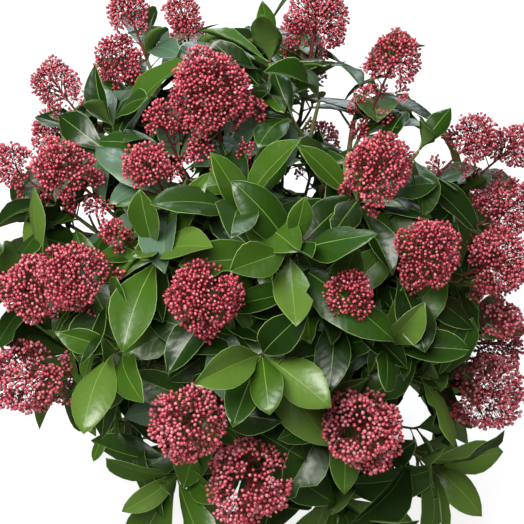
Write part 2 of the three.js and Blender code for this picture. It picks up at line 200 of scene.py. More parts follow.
def unit(vectors):
    return vectors / np.linalg.norm(vectors, axis=-1, keepdims=True)


def mix(low, high, share):
    return low + (high - low) * share


def within(span, draw):
    """A drawn value between two."""
    return mix(*span, draw())


def share_of(value, span):
    """How far along a span a value is, from 0 to 1."""
    return min(max((value - span[0]) / (span[1] - span[0]), 0), 1)


def direction(bearing, rise):
    turn, lift = math.radians(bearing), math.radians(rise)
    level = math.cos(lift)
    return np.array((level * math.cos(turn), level * math.sin(turn), math.sin(lift)))


def seeded(seed):
    """A repeatable source of numbers from 0 to 1."""
    state = (seed + 1) * 7919

    def draw():
        nonlocal state
        state = state * 16807 % 2147483647
        return state / 2147483647

    draw()
    return draw


def growth(outward):
    """The way that growth heads at a place on the crown: outward, pulled toward the light."""
    return unit(outward + RISE_PULL * UP)


def square_to(line, near):
    """A unit vector square to one line, as near as can be to another."""
    return unit(near - (near @ line) * line)


def turned_from(first, second, angle):
    """The first of two vectors square to each other, turned toward the second."""
    return first * math.cos(angle) + second * math.sin(angle)


class Bend:
    """A cubic curve through space."""

    def __init__(self, *points):
        self.points = np.array(points, float)

    def at(self, t):
        t = np.asarray(t, float)[..., None]
        root, first, second, tip = self.points
        rest = 1 - t
        return root * rest**3 + 3 * first * rest**2 * t + 3 * second * rest * t**2 + tip * t**3

    def heading(self, t):
        t = np.asarray(t, float)[..., None]
        root, first, second, tip = self.points
        rest = 1 - t
        slope = (first - root) * rest**2 + 2 * (second - first) * rest * t + (tip - second) * t**2
        return unit(slope)


def arc(root, leaving, tip, arriving, spring):
    """A curve between two points that leaves and arrives along two ways."""
    reach = spring * np.linalg.norm(tip - root)
    return Bend(root, root + reach * leaving, tip - reach * arriving, tip)


# ---- meshes


def ring_faces(rings, sides, mirrored=()):
    """The triangles of a closed tube of rings, with those of mirrored sides split otherwise."""
    ring, side = np.meshgrid(np.arange(rings - 1), np.arange(sides), indexing="ij")
    near = (ring * sides + side).ravel()
    aside = (ring * sides + (side + 1) % sides).ravel()
    other = np.isin(side.ravel(), mirrored)
    wall = np.concatenate((
        np.stack((near, aside, np.where(other, near, aside) + sides), 1),
        np.stack((np.where(other, aside, near), aside + sides, near + sides), 1),
    ))
    fan = np.arange(1, sides - 1)
    foot = np.stack((0 * fan, fan + 1, fan), 1)
    top = np.stack((0 * fan, fan, fan + 1), 1) + (rings - 1) * sides
    return np.concatenate((wall, foot, top))


def frames_along(line):
    """For each point of a line, two ways square to it and to each other."""
    ahead = unit(np.gradient(line, axis=0))
    level = np.cross(line[-1] - line[0], UP)
    if np.linalg.norm(level) < 0.05 * np.linalg.norm(line[-1] - line[0]):
        level = np.array((1.0, 0.0, 0.0))
    across = unit(level - (ahead @ level)[:, None] * ahead)
    return across, np.cross(ahead, across)


def even_turns(count):
    """Turns spread evenly over a full circle."""
    return np.linspace(0, 2 * math.pi, count, endpoint=False)


def circles(across, depth, sides):
    """A unit circle of points in each of the planes that pairs of ways span."""
    cosines, sines = (wave(even_turns(sides))[None, :, None] for wave in (np.cos, np.sin))
    return across[:, None] * cosines + depth[:, None] * sines


def tube(line, radii, sides, relief=1):
    """A closed tube about a line of points, with its radius at each, roughened by relief."""
    across, depth = frames_along(line)
    reach = np.repeat(np.asarray(radii, float)[:, None], sides, 1) * relief
    points = line[:, None] + circles(across, depth, sides) * reach[:, :, None]
    return points.reshape(-1, 3), ring_faces(len(line), sides)


def frames_of(ways):
    """For each of some ways, two ways square to it and to each other."""
    across = unit(np.cross(ways, ODD_WAY))
    return across, np.cross(across, ways)


def rods(starts, ends, foot, tip, sides=3):
    """Thin straight stalks, one from each start to its end, with open ends."""
    across, depth = frames_of(unit(ends - starts))
    ring = circles(across, -depth, sides)
    points = np.concatenate((starts[:, None] + foot * ring, ends[:, None] + tip * ring), 1)
    steps = 2 * sides * np.arange(len(starts))
    faces = ring_faces(2, sides)[None, :2 * sides] + steps[:, None, None]
    return points.reshape(-1, 3), faces.reshape(-1, 3)


def fill(items, field, values, kind):
    items.foreach_set(field, values.astype(kind).ravel())


class Batch:
    """Meshes of one kind, gathered and then joined as one piece."""

    def __init__(self, name, slot, materials):
        self.name, self.slot, self.materials = name, slot, materials
        self.points, self.faces, self.finishes, self.marks = [], [], [], []
        self.count = 0

    def add(self, points, faces, finishes=0, marks=None):
        self.points.append(points)
        self.faces.append(faces + self.count)
        self.finishes.append(np.broadcast_to(finishes, len(faces)))
        if marks is not None:
            self.marks.append(marks)
        self.count += len(points)

    def build(self, nodes):
        """The joined piece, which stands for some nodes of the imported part."""
        faces = np.concatenate(self.faces)
        mesh = bpy.data.meshes.new(self.name)
        mesh.vertices.add(self.count)
        mesh.loops.add(faces.size)
        mesh.polygons.add(len(faces))
        for material in self.materials:
            mesh.materials.append(material)
        fill(mesh.vertices, "co", np.concatenate(self.points) * MM, np.float32)
        fill(mesh.loops, "vertex_index", faces, np.int32)
        fill(mesh.polygons, "loop_start", np.arange(0, faces.size, 3), np.int32)
        fill(mesh.polygons, "use_smooth", np.ones(len(faces)), bool)
        fill(mesh.polygons, "material_index", np.concatenate(self.finishes), np.int32)
        if self.marks:
            places = mesh.attributes.new(VEIN.places, "FLOAT_VECTOR", "POINT")
            fill(places.data, "vector", np.concatenate(self.marks), np.float32)
        mesh.update(calc_edges=True)
        piece = bpy.data.objects.new(self.name, mesh)
        bpy.context.scene.collection.objects.link(piece)
        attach(piece, "root")
        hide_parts(*nodes)


# ---- finishes


def with_veins(nodes, links, noise):
    """The relief of a leaf: noise, and side veins that slant from the midrib and waver by it."""
    places = nodes.new("ShaderNodeAttribute")
    places.attribute_name = VEIN.places
    often = 2 * math.pi / VEIN.apart
    slant = nodes.new("ShaderNodeVectorMath")
    slant.operation = "DOT_PRODUCT"
    slant.inputs[1].default_value = (often, -VEIN.slant * often, 0)
    links.new(places.outputs["Vector"], slant.inputs[0])
    waver = scaled_sum(nodes, links, noise.outputs["Fac"], VEIN.waver, slant.outputs["Value"])
    wave = nodes.new("ShaderNodeMath")
    wave.operation = "SINE"
    links.new(waver, wave.inputs[0])
    return scaled_sum(nodes, links, wave.outputs["Value"], VEIN.depth, noise.outputs["Fac"])


def scaled_sum(nodes, links, first, scale, second):
    """A value of the nodes times a scale, plus another value."""
    total = nodes.new("ShaderNodeMath")
    total.operation = "MULTIPLY_ADD"
    total.inputs[1].default_value = scale
    links.new(first, total.inputs[0])
    links.new(second, total.inputs[2])
    return total.outputs["Value"]


def with_inputs(node, values):
    for name, value in values.items():
        node.inputs[name].default_value = value
    return node


def finish(name, colour, rough, grain, bump, sheen=0.5, veined=False):
    """A finish: a base colour, with gloss between two values and relief, both by noise."""
    material = bpy.data.materials.new(name)
    material.use_nodes = True
    nodes, links = material.node_tree.nodes, material.node_tree.links
    shader = nodes["Principled BSDF"]
    with_inputs(shader, {"Base Color": (*colour, 1), "Specular IOR Level": sheen})
    place = nodes.new("ShaderNodeTexCoord")
    noise = with_inputs(nodes.new("ShaderNodeTexNoise"), {"Scale": grain, "Detail": 3})
    links.new(place.outputs["Object"], noise.inputs["Vector"])
    low, high = rough
    gloss = with_inputs(nodes.new("ShaderNodeMapRange"), {"To Min": low, "To Max": high})
    links.new(noise.outputs["Fac"], gloss.inputs["Value"])
    links.new(gloss.outputs["Result"], shader.inputs["Roughness"])
    relief = with_inputs(nodes.new("ShaderNodeBump"), {"Strength": bump, "Distance": MM})
    height = with_veins(nodes, links, noise) if veined else noise.outputs["Fac"]
    links.new(height, relief.inputs["Height"])
    links.new(relief.outputs["Normal"], shader.inputs["Normal"])
    return material


def blade_finish(tone, colour):
    return finish(f"leaf_{tone}", colour, (0.26, 0.44), 130, 0.38, 0.45, True)


def bud_finish(tone, colour):
    return finish(f"bud_{tone}", colour, (0.30, 0.44), 500, 0.2, 0.55)


BLADES = (
    blade_finish("deep", (0.005, 0.021, 0.001)),
    blade_finish("mid", (0.012, 0.042, 0.002)),
    blade_finish("green", (0.031, 0.078, 0.005)),
    blade_finish("fresh", (0.067, 0.128, 0.017)),
    # painted reflection: a cooler, greyer green that stands in for the sky's sheen on a leaf
    blade_finish("painted_sky_sheen", (0.062, 0.112, 0.072)),
)
DEEP, MID, GREEN, FRESH, PAINTED_SKY_SHEEN = range(len(BLADES))
MARGIN, MIDRIB, BELOW, PETIOLE_RED = range(len(BLADES), len(BLADES) + 4)
LEAF_FINISHES = (
    *BLADES,
    finish("leaf_margin", (0.18, 0.275, 0.075), (0.35, 0.5), 300, 0.2),
    finish("leaf_midrib", (0.13, 0.23, 0.040), (0.35, 0.5), 300, 0.2),
    finish("leaf_underside", (0.065, 0.125, 0.022), (0.5, 0.65), 130, 0.4, 0.4, True),
    finish("leaf_petiole", (0.12, 0.035, 0.020), (0.4, 0.55), 300, 0.2),
)
BUD_FINISHES = (
    bud_finish("crimson", (0.43, 0.052, 0.080)),
    bud_finish("rose", (0.50, 0.108, 0.146)),
    bud_finish("maroon", (0.21, 0.015, 0.028)),
    bud_finish("pink", (0.54, 0.165, 0.210)),
)
STALK_FINISHES = (
    finish("stalk_maroon", (0.12, 0.012, 0.018), (0.4, 0.55), 400, 0.3),
    finish("stalk_brick", (0.13, 0.018, 0.018), (0.45, 0.6), 400, 0.3),
)
TWIG_FINISHES = (
    finish("twig_green", (0.10, 0.12, 0.035), (0.5, 0.7), 320, 0.6),
    finish("twig_brown", (0.19, 0.125, 0.065), (0.6, 0.8), 320, 0.8),
)
BARK = finish("bark", (0.17, 0.135, 0.09), (0.7, 0.9), 240, 1.0)
GREEN_BARK = finish("green_bark", (0.13, 0.125, 0.06), (0.6, 0.8), 260, 0.9)

# How often leaves of each kind have each tone. Leaves high at the back get a painted sky sheen
# most.
TONES = dict(
    plain={DEEP: 0.32, MID: 0.36, GREEN: 0.23, FRESH: 0.05, PAINTED_SKY_SHEEN: 0.04},
    older={DEEP: 0.55, MID: 0.35, GREEN: 0.1},
    back={DEEP: 0.1, MID: 0.24, GREEN: 0.23, PAINTED_SKY_SHEEN: 0.43},
    inner={MID: 0.2, GREEN: 0.5, FRESH: 0.3},
    leafy={DEEP: 0.14, MID: 0.34, GREEN: 0.32, FRESH: 0.2},
)
HIGH_BACK = Sizes(above=0.3, behind=-0.5)

# ---- limbs


def trunk_curve():
    height, lean = TRUNK.height, TRUNK.lean
    low, high = TRUNK.upright
    top = np.array((lean, lean / 2, height))
    return Bend(0 * UP, low * height * UP, top - high * height * UP, top)


def leader_curve(top, tip):
    low, high = LEADER.bends
    sway = mix(top, tip, high) + LEADER.sway * np.array((-1, 1, 0))
    rising = mix(top, tip, low) * UP + top * (1 - UP)
    return Bend(top, rising, sway, tip)


def branch(parent, at, form, bearing):
    """The curve of a bough, from a share of the way along its parent, and its outward way."""
    outward = direction(bearing, form.rise)
    leaving = direction(bearing, LEAVING.flatter * form.rise + LEAVING.lift)
    tip = CROWN + BOUGH_REACH * outward
    return arc(parent.at(at), leaving, tip, growth(outward), LIMB_SPRING), outward


def grow_limbs():
    """The trunk's curve, and every limb by name: its curve, its sizes and its outward way."""
    trunk = trunk_curve()
    outward = direction(LEADER.bearing, LEADER.rise)
    leader = leader_curve(trunk.at(1), CROWN + BOUGH_REACH * outward)
    limbs = {"leader": (leader, LEADER, outward)}
    for k in range(MAIN.count):
        bearing = MAIN.bearing + k * 360 / MAIN.count
        order = (k * 3 + k // 2) % MAIN.count
        height = MAIN.lowest + order * MAIN.spacing
        main, outward = branch(trunk, height / TRUNK.height, MAIN, bearing)
        limbs[f"main_bough_{k + 1}"] = (main, MAIN, outward)
        for name, form in (("side", SIDE), ("skirt", SKIRT)):
            curve, outward = branch(main, form.leaves, form, bearing + form.turn)
            limbs[f"{name}_bough_{k + 1}"] = (curve, form, outward)
    return trunk, limbs


def bark_relief(rings, sides, depth, seed):
    """Ridges, knots and leaf scars, as how far each point of a tube stands out."""
    random = np.random.default_rng(seed)
    coarse = random.normal(0, 1, (rings // RELIEF.rows + 2, sides))
    rows = np.linspace(0, coarse.shape[0] - 1.001, rings)
    low = rows.astype(int)
    share = (rows - low)[:, None]
    ridges = coarse[low] * (1 - share) + coarse[low + 1] * share
    scars = random.random((rings, 1)) < RELIEF.scars
    fine = RELIEF.fine * random.normal(0, 1, (rings, sides))
    return 1 + depth * (ridges + fine + RELIEF.scar * scars)


def dress_trunk(trunk):
    """The trunk with its bark, spreading in low ribs at the foot, which is cut flat."""
    rings, sides = TRUNK_MESH.rings, TRUNK_MESH.sides
    t = np.linspace(0, 1, rings)
    foot = np.exp(-t * TRUNK.height / TRUNK.flare_height)
    radii = mix(TRUNK.foot, TRUNK.top, t) + TRUNK.flare * foot
    relief = bark_relief(rings, sides, TRUNK_MESH.relief, SEEDS.trunk)
    ribs = np.cos(TRUNK_MESH.ribs * even_turns(sides) + TRUNK_MESH.turned)
    buttress = TRUNK_MESH.rib * foot[:, None] * ribs[None]
    points, faces = tube(trunk.at(t), radii, sides, relief + buttress)
    points[:sides, 2] = 0
    bark = Batch("bark_trunk", "bark", (BARK,))
    bark.add(points, faces)
    bark.build(["trunk"])


def dress_boughs(limbs):
    """The leader and every bough with its bark, and a collar where it leaves its parent."""
    bark = Batch("bark_boughs", "green_bark", (GREEN_BARK,))
    for seed, (curve, form, _) in enumerate(limbs.values()):
        length = np.linalg.norm(curve.points[3] - curve.points[0])
        rings = int(length / BOUGH_MESH.spacing) + BOUGH_MESH.fewest
        sides = BOUGH_MESH.sides
        t = np.linspace(0, 1, rings)
        collar = 1 + BOUGH_MESH.collar * np.exp(-t * length / BOUGH_MESH.collar_length)
        radii = mix(form.foot, form.tip, t) * collar
        relief = bark_relief(rings, sides, BOUGH_MESH.relief, SEEDS.boughs + seed)
        bark.add(*tube(curve.at(t), radii, sides, relief))
    bark.build(list(limbs))


# ---- shoots


def sight_lines():
    """The lines of sight through the openings: middles, ways ahead and radii."""
    to_eye = direction(-90, EYE.rise)
    upward = square_to(to_eye, UP)
    right, up, radii = np.array(OPENINGS, float).T
    middles = CROWN + up[:, None] * upward + right[:, None] * np.array((1, 0, 0))
    return middles, unit(middles - CROWN - EYE.distance * to_eye), radii


SIGHT = sight_lines()


def from_lines(points, middles, ahead, deep=math.inf):
    """How far some points are from lines, and how far along them, up to this deep."""
    apart = np.atleast_2d(points)[:, None] - middles
    along = np.clip((apart * ahead).sum(2), -deep, deep)
    return np.linalg.norm(apart - along[..., None] * ahead, axis=2), along


def from_openings(points):
    """How far some points are from each line of sight, less the opening's radius."""
    middles, ahead, radii = SIGHT
    return from_lines(points, middles, ahead, OPENING.deep)[0] - radii


def stands_in_opening(point, radius):
    return (from_openings(point) < OPENING.margin + OPENING.share * radius).any()


def shoot_places():
    """Where every shoot ends: those of the front, then the rest, spread around them."""
    places = []
    for bearing, rise, turn, *reach in FRONT_LEAFY:
        reach = (*reach, LEAFY_REACH)[0]
        places.append(dict(outward=direction(bearing, rise), radius=0, reach=reach, turn=turn))
    for bearing, rise, radius, *more in FRONT_BUDS:
        reach, stalk = (*more, *(BUD_REACH, STALK)[len(more):])
        outward = direction(bearing, rise)
        places.append(dict(outward=outward, radius=radius, reach=reach, stalk=stalk))
    for i in range(SPIRAL.count):
        draw = seeded(SEEDS.spiral + i)
        rise = math.degrees(math.asin(1 - (2 * i + 1) / SPIRAL.count))
        outward = direction(i * GOLDEN_TURN, rise)
        nearest = max(place["outward"] @ outward for place in places)
        if rise < SPIRAL.lowest or nearest > math.cos(math.radians(SPIRAL.apart)):
            continue
        share = IN_BUD.between if IN_BUD.low < rise < IN_BUD.high else IN_BUD.beyond
        radius = HEAD.radius * within(SPIRAL.radius, draw) if draw() < share else 0
        reach = (BUD_REACH if radius else LEAFY_REACH) + within(SPIRAL.reach, draw)
        if not stands_in_opening(CROWN + reach * outward, radius):
            places.append(dict(outward=outward, radius=radius, reach=reach))
    return places


class Shoot:
    """A bend from a mass's fork, then the straight end with its leaves and flower head."""

    def __init__(self, index, place, mass):
        self.index = index
        self.mass = mass["name"]
        self.outward = place["outward"]
        self.rise = math.degrees(math.asin(self.outward[2]))
        self.radius = place["radius"]
        self.turn = place.get("turn")
        self.axis = growth(self.outward)
        self.tip = CROWN + place["reach"] * self.outward
        self.stalk = place.get("stalk", STALK) if self.radius else 0
        self.end = self.tip - self.stalk * self.axis
        self.foot = self.end - LEAFY_END * self.axis
        self.tilt = BUD_TILT if self.radius else LEAFY_TILT
        fork = mass["fork"]
        leaving = unit(mix(unit(self.foot - fork), mass["heading"], TWIG.ahead))
        self.bend = arc(fork, leaving, self.foot, self.axis, TWIG.spring)


def grow_shoots(limbs):
    """The masses, one at the tip of every limb, and the shoots, each off the nearest mass."""
    masses = []
    for limb, (curve, _, outward) in limbs.items():
        tip, heading = curve.at(1), curve.heading(1)
        fork = tip + (STEM - TWIG.sunk) * heading
        name = "mass_top" if limb == "leader" else limb.replace("bough", "mass")
        masses.append(dict(name=name, outward=outward, heading=heading, fork=fork, tip=tip))
    shoots = []
    for index, place in enumerate(shoot_places()):
        mass = max(masses, key=lambda other: other["outward"] @ place["outward"])
        shoots.append(Shoot(index, place, mass))
    return masses, shoots


# ---- leaves


def whorl(shoot, draw):
    """The leaves of one shoot by the rule of the solids, from the lowest and flattest."""
    turn = 360 * draw() if shoot.turn is None else shoot.turn
    for i in range(LEAF.count):
        lean = shoot.tilt[0] - i * shoot.tilt[1]
        length = LEAF.length * (WHORL.longest - WHORL.shorter * i)
        base = shoot.end + (i * WHORL.spacing - WHORL.lowest) * shoot.axis
        leaf = varied_leaf("outer", shoot.axis, turn + i * GOLDEN_TURN, lean, length, base, draw)
        if not shoot.radius:
            leaf["length"] *= LEAFY_LENGTH
        yield leaf


def varied_leaf(kind, axis, around, lean, length, base, draw):
    """A leaf near these turns around its twig and from it, and near this length."""
    turns, leans, lengths, arches = VARIED[kind]
    around = math.radians(around + within(turns, draw))
    lean = math.radians(lean + within(leans, draw))
    length *= within(lengths, draw)
    across = square_to(axis, UP)
    outward = turned_from(across, np.cross(across, axis), around)
    along = turned_from(axis, outward, lean)
    face = turned_from(-outward, axis, lean)
    upper = square_to(along, face + LIGHT_PULL * UP)
    return dict(base=base, along=along, upper=upper, length=length, arch=within(arches, draw))


def inner_leaves(shoot, draw):
    """The younger leaves inside a whorl, each shorter and more upright than the last."""
    turn = (shoot.turn or 0) + LEAF.count * GOLDEN_TURN
    lowest = shoot.tilt[0] - LEAF.count * shoot.tilt[1]
    for i in range(INNER.count):
        lean = lowest * INNER.tilt ** (i + 1)
        length = LEAF.length * (INNER.length - INNER.shorter * i)
        base = shoot.end - (INNER.below - INNER.spacing * i) * shoot.axis
        yield varied_leaf("inner", shoot.axis, turn + i * GOLDEN_TURN, lean, length, base, draw)


def older_leaves(shoot, draw):
    """The darker leaves of last year, lower on the shoot."""
    length = LEAF.length * OLDER.length
    for i in range(OLDER.count):
        around = OLDER.turn + i * GOLDEN_TURN
        base = shoot.end - (OLDER.below + i * OLDER.spacing) * shoot.axis
        yield varied_leaf("older", shoot.axis, around, OLDER.tilt, length, base, draw)


BANDS = "MBBRBBMUUUU"  # margin, blade, midrib and underside, around each ring
SIDES_OF_LEAF = len(BANDS)
UPPER_SIDES = 8  # the points of a ring that are on the upper face
SAMPLED = (1, 3, 6)  # those that a leaf finds its room by
BELOW_BANDS = tuple(side for side, band in enumerate(BANDS) if band == "U")


def spine(leaf, u, draw):
    """A leaf's midrib as points, with the ways across and above the blade at each."""
    length, arch = leaf["length"], leaf["arch"]
    side = np.cross(leaf["along"], leaf["upper"])
    bend = (arch * u)[:, None]
    aside = within(SHAPE.aside, draw)
    hump = within(SHAPE.hump, draw) * np.sin(math.pi * u)[:, None]
    centre = leaf["base"] + length * (
        leaf["along"] * np.sin(bend) / arch
        + leaf["upper"] * (hump - (1 - np.cos(bend)) / arch)
        + side * aside * u[:, None] ** 2
    )
    normal = leaf["upper"] * np.cos(bend) + leaf["along"] * np.sin(bend)
    roll = (within(SHAPE.roll, draw) * u)[:, None]
    across = side * np.cos(roll) + normal * np.sin(roll)
    above = normal * np.cos(roll) - side * np.sin(roll)
    return centre, across, above


def half_widths(length, u, draw):
    """A leaf's half width at shares of its length, from petiole to pointed tip."""
    width = LEAF.width * within(SHAPE.width, draw)
    widest, blunt = within(SHAPE.widest, draw), within(SHAPE.blunt, draw)
    v = np.clip((u - PETIOLE.share) / (1 - PETIOLE.share), 0, 1)
    outline = np.sin(math.pi * v**widest) ** mix(SHAPE.foot, blunt, v)
    half = 0.5 * width * length * outline
    return np.maximum(half, PETIOLE.half * (1 - PETIOLE.thinner * u))


def columns(left, right, u):
    """How far aside each point of a leaf's rings is, over the upper face and back beneath."""
    rib = mix(BLADE.midrib, BLADE.tip, u)
    sides = []
    for sign, edge in ((-1, left), (1, right)):
        blade = np.maximum(edge - BLADE.margin, BLADE.inner * edge)
        vein = np.minimum(rib, BLADE.vein * blade)
        sides.append([sign * x for x in (edge, blade, BLADE.middle * edge, vein)])
    left, right = sides
    return np.stack(left + right[::-1] + [right[2], 0 * u, left[2]], 1)


def blade_lift(x, share, u, draw):
    """How far each point of a leaf is lifted by its fold, its cup and its ripples."""
    fold = LEAF.fold + within(SHAPE.fold, draw)
    cup, ripple = within(SHAPE.cup, draw), within(SHAPE.ripple, draw)
    ripple = ripple * np.sin(2 * math.pi * (within(SHAPE.ripples, draw) * u + draw()))
    lift = fold * np.abs(x) - cup * np.abs(x) * share + ripple[:, None] * x * share
    for rim, inner, middle in ((0, 1, 2), (7, 6, 5)):
        part = (x[:, inner] - x[:, middle]) / (x[:, rim] - x[:, middle])
        lift[:, inner] = mix(lift[:, middle], lift[:, rim], part)
    return lift


def leaf_surface(leaf, u, draw):
    """A leaf's rings of points, with their places on the blade for its veins."""
    centre, across, above = spine(leaf, u, draw)
    half = half_widths(leaf["length"], u, draw)
    left, right = (half * edge for edge in bitten(u, draw))
    x = columns(left, right, u)
    share = np.abs(x) / half[:, None]
    lift = blade_lift(x, share, u, draw)
    thick = BLADE.thick + BLADE.butt * np.exp(-u / BLADE.butt_share)
    face = np.where(np.arange(SIDES_OF_LEAF) < UPPER_SIDES, 0.5, -0.5)
    height = lift + thick[:, None] * face * np.where(share > 0.98, 0.5, 1)  # thin at the edge
    points = centre[:, None] + across[:, None] * x[..., None] + above[:, None] * height[..., None]
    marks = np.stack((leaf["length"] * u[:, None] + 0 * x, np.abs(x), 0 * x), 2)
    return points, marks


def bitten(u, draw):
    """How much of each side's width is left, where an insect has been."""
    edges = [np.ones(len(u)), np.ones(len(u))]
    if draw() < BITE.odds:
        spans = (BITE.middle, BITE.reach, BITE.depth)
        middle, reach, depth = (within(span, draw) for span in spans)
        edges[int(draw() * 2)] -= depth * np.exp(-(((u - middle) / reach) ** 2))
    return edges


def leaf_finishes(rows, blade):
    kinds = dict(M=MARGIN, B=blade, R=MIDRIB, U=BELOW)
    bands = np.array([kinds[kind] for kind in BANDS])
    wall = np.tile(bands, (rows - 1, 1))
    wall[:1] = PETIOLE_RED
    caps = np.full(2 * (SIDES_OF_LEAF - 2), PETIOLE_RED)
    return np.concatenate((wall.ravel(), wall.ravel(), caps))


def leaf_tone(shoot, rank, draw):
    """The green of a leaf, by how young it is and where its shoot stands; high at the back, often a
    painted sky sheen.
    """
    kind = "plain" if shoot.radius else "leafy"
    if rank == "older":
        kind = "older"
    # high at the back, leaves often take the painted sky sheen
    elif shoot.outward[2] > HIGH_BACK.above and shoot.outward[1] > HIGH_BACK.behind:
        kind = "back"
    elif rank == "inner":
        kind = "inner"
    odds = TONES[kind]
    pick = draw() * sum(odds.values())
    for tone, share in odds.items():
        pick -= share
        if pick <= 0:
            return tone
    return MID


class Foliage:
    """The leaves of the crown, and the cells of space that they fill, each with its owner."""

    def __init__(self, batches, heads):
        self.batches = batches
        self.cells = {}
        self.heads = heads
        seen = heads[:len(FRONT_BUDS)]
        self.seen = np.array([shoot.tip for shoot in seen])
        self.in_sight = ROOM.in_sight * np.array([shoot.radius for shoot in seen])
        self.ahead = unit(self.seen - (CROWN + EYE.distance * direction(-90, EYE.rise)))

    def hide_a_head(self, points):
        """Whether some points stand before a flower head of the front."""
        across, along = from_lines(points, self.seen, self.ahead)
        return ((along < 0) & (across < self.in_sight)).any()

    def crowding(self, points, cells, owner):
        """The share of some points that fall where another leaf or a flower head is."""
        if (from_openings(points) < ROOM.opening).any() or self.hide_a_head(points):
            return 1
        found = sum(self.cells.get(cell, owner) != owner for cell in cells)
        for shoot in self.heads:
            apart = points - shoot.tip
            along = apart @ shoot.axis
            tall = shoot.radius * HEAD.tall
            across = (apart**2).sum(1) - along**2
            found += ((along / tall) ** 2 + across / shoot.radius**2 < ROOM.head).sum()
        return found / len(points)

    def grow(self, shoot, leaf, rank, draw, owner):
        """A leaf as the rule has it, or turned up and shorter to fit, or none."""
        rows = np.array(FINE_ROWS if rank != "older" else PLAIN_ROWS)
        crowded = ROOM.squeezed if rank == "older" else ROOM.crowded
        traits = int(draw() * TRAITS)
        for turned in TURNED:
            along = unit(leaf["along"] + turned * shoot.axis)
            if rank == "older" and along[2] < OLDER.steepest:
                continue
            length = leaf["length"] * (1 - TURNED_SHORTER * abs(turned))
            grown = dict(leaf, along=along, length=length, upper=square_to(along, leaf["upper"]))
            points, marks = leaf_surface(grown, rows, seeded(traits))
            samples = points[len(rows) // 4:, SAMPLED].reshape(-1, 3)
            cells = [tuple(cell) for cell in np.floor(samples / ROOM.cell).astype(int)]
            if self.crowding(samples, cells, owner) <= crowded:
                for cell in cells:
                    self.cells.setdefault(cell, owner)
                finishes = leaf_finishes(len(rows), leaf_tone(shoot, rank, draw))
                faces = ring_faces(len(rows), SIDES_OF_LEAF, BELOW_BANDS)
                batch = self.batches[part_of(shoot.mass)]
                batch.add(points.reshape(-1, 3), faces, finishes, marks.reshape(-1, 3))
                return


def part_of(mass):
    """Which joined piece a mass belongs to: its tier, before or behind the trunk."""
    tier, *_, number = mass.split("_")
    if tier == "mass":
        return "main_back"
    return f"{tier}_{'back' if int(number) <= MAIN.count / 2 else 'front'}"


def grow_foliage(shoots, foliage, twigs):
    """All leaves, the lowest of every whorl first, so that each shoot gets its share of room."""
    whorls = [list(whorl(shoot, seeded(shoot.index))) for shoot in shoots]
    draws = [seeded(SEEDS.foliage + shoot.index) for shoot in shoots]
    for i in range(LEAF.count):
        for shoot, leaves, draw in zip(shoots, whorls, draws):
            foliage.grow(shoot, leaves[i], "outer", draw, (shoot.index, i))
    for rank, rule, first in (("inner", inner_leaves, 10), ("older", older_leaves, 20)):
        for shoot, draw in zip(shoots, draws):
            for i, leaf in enumerate(rule(shoot, draw), first):
                foliage.grow(shoot, leaf, rank, draw, (shoot.index, i))
    for shoot, draw in zip(shoots, draws):
        for k, place in enumerate(SIDE_TWIG.places):
            grow_side_twig(shoot, k, place, draw, foliage, twigs)


def grow_side_twig(shoot, k, place, draw, foliage, twigs):
    """A finer twig off a shoot's bend, with a few darker leaves at its end."""
    root, heading = shoot.bend.at(place), shoot.bend.heading(place)
    across = square_to(heading, UP)
    turn = math.radians(SIDE_TWIG.turn * shoot.index + k * GOLDEN_TURN)
    outward = turned_from(across, np.cross(across, heading), turn)
    leaving = turned_from(heading, outward, math.radians(SIDE_TWIG.spread))
    length = SIDE_TWIG.length * within(SIDE_TWIG.varied, draw)
    rising, light = SIDE_TWIG.light
    axis, tip = unit(leaving + light * UP), root + length * unit(leaving + rising * UP)
    spring = SIDE_TWIG.spring * length
    t = np.linspace(0, 1, SIDE_MESH.rings)
    line = Bend(root, root + spring * leaving, tip - spring * axis, tip).at(t)
    twigs.add(*tube(line, mix(*SIDE_MESH.girth, t), SIDE_MESH.sides))
    size = LEAF.length * SIDE_TWIG.leaf
    for i in range(SIDE_TWIG.leaves):
        around = SIDE_TWIG.first * k + i * GOLDEN_TURN
        lean = SIDE_TWIG.tilt[0] - i * SIDE_TWIG.tilt[1]
        base = tip - (SIDE_TWIG.below - SIDE_TWIG.spacing * i) * axis
        leaf = varied_leaf("aside", axis, around, lean, size, base, draw)
        foliage.grow(shoot, leaf, "older", draw, (shoot.index, 30 + 10 * k + i))


def dress_twigs(masses, shoots, twigs):
    """The stems of the masses and the woody part of every shoot."""
    for mass in masses:
        rings = STEM_MESH.rings
        line = mass["tip"] + np.linspace(-STEM_MESH.sunk, STEM, rings)[:, None] * mass["heading"]
        twigs.add(*tube(line, np.linspace(*STEM_MESH.girth, rings), STEM_MESH.sides), 1)
    sides = TWIG_MESH.sides
    for shoot in shoots:
        bend = shoot.bend.at(np.linspace(0, 1, TWIG_MESH.bend))
        ahead = np.linspace(0, 1, TWIG_MESH.straight)[1:, None]
        line = np.concatenate((bend, shoot.foot + ahead * (shoot.end - shoot.foot)))
        radii = mix(*TWIG_MESH.girth, np.linspace(0, 1, len(line)))
        relief = bark_relief(len(line), sides, TWIG_MESH.relief, SEEDS.twigs + shoot.index)
        points, faces = tube(line, radii, sides, relief)
        twigs.add(points, faces, np.where(faces.min(1) < sides * TWIG_MESH.brown, 1, 0))


# ---- flower heads


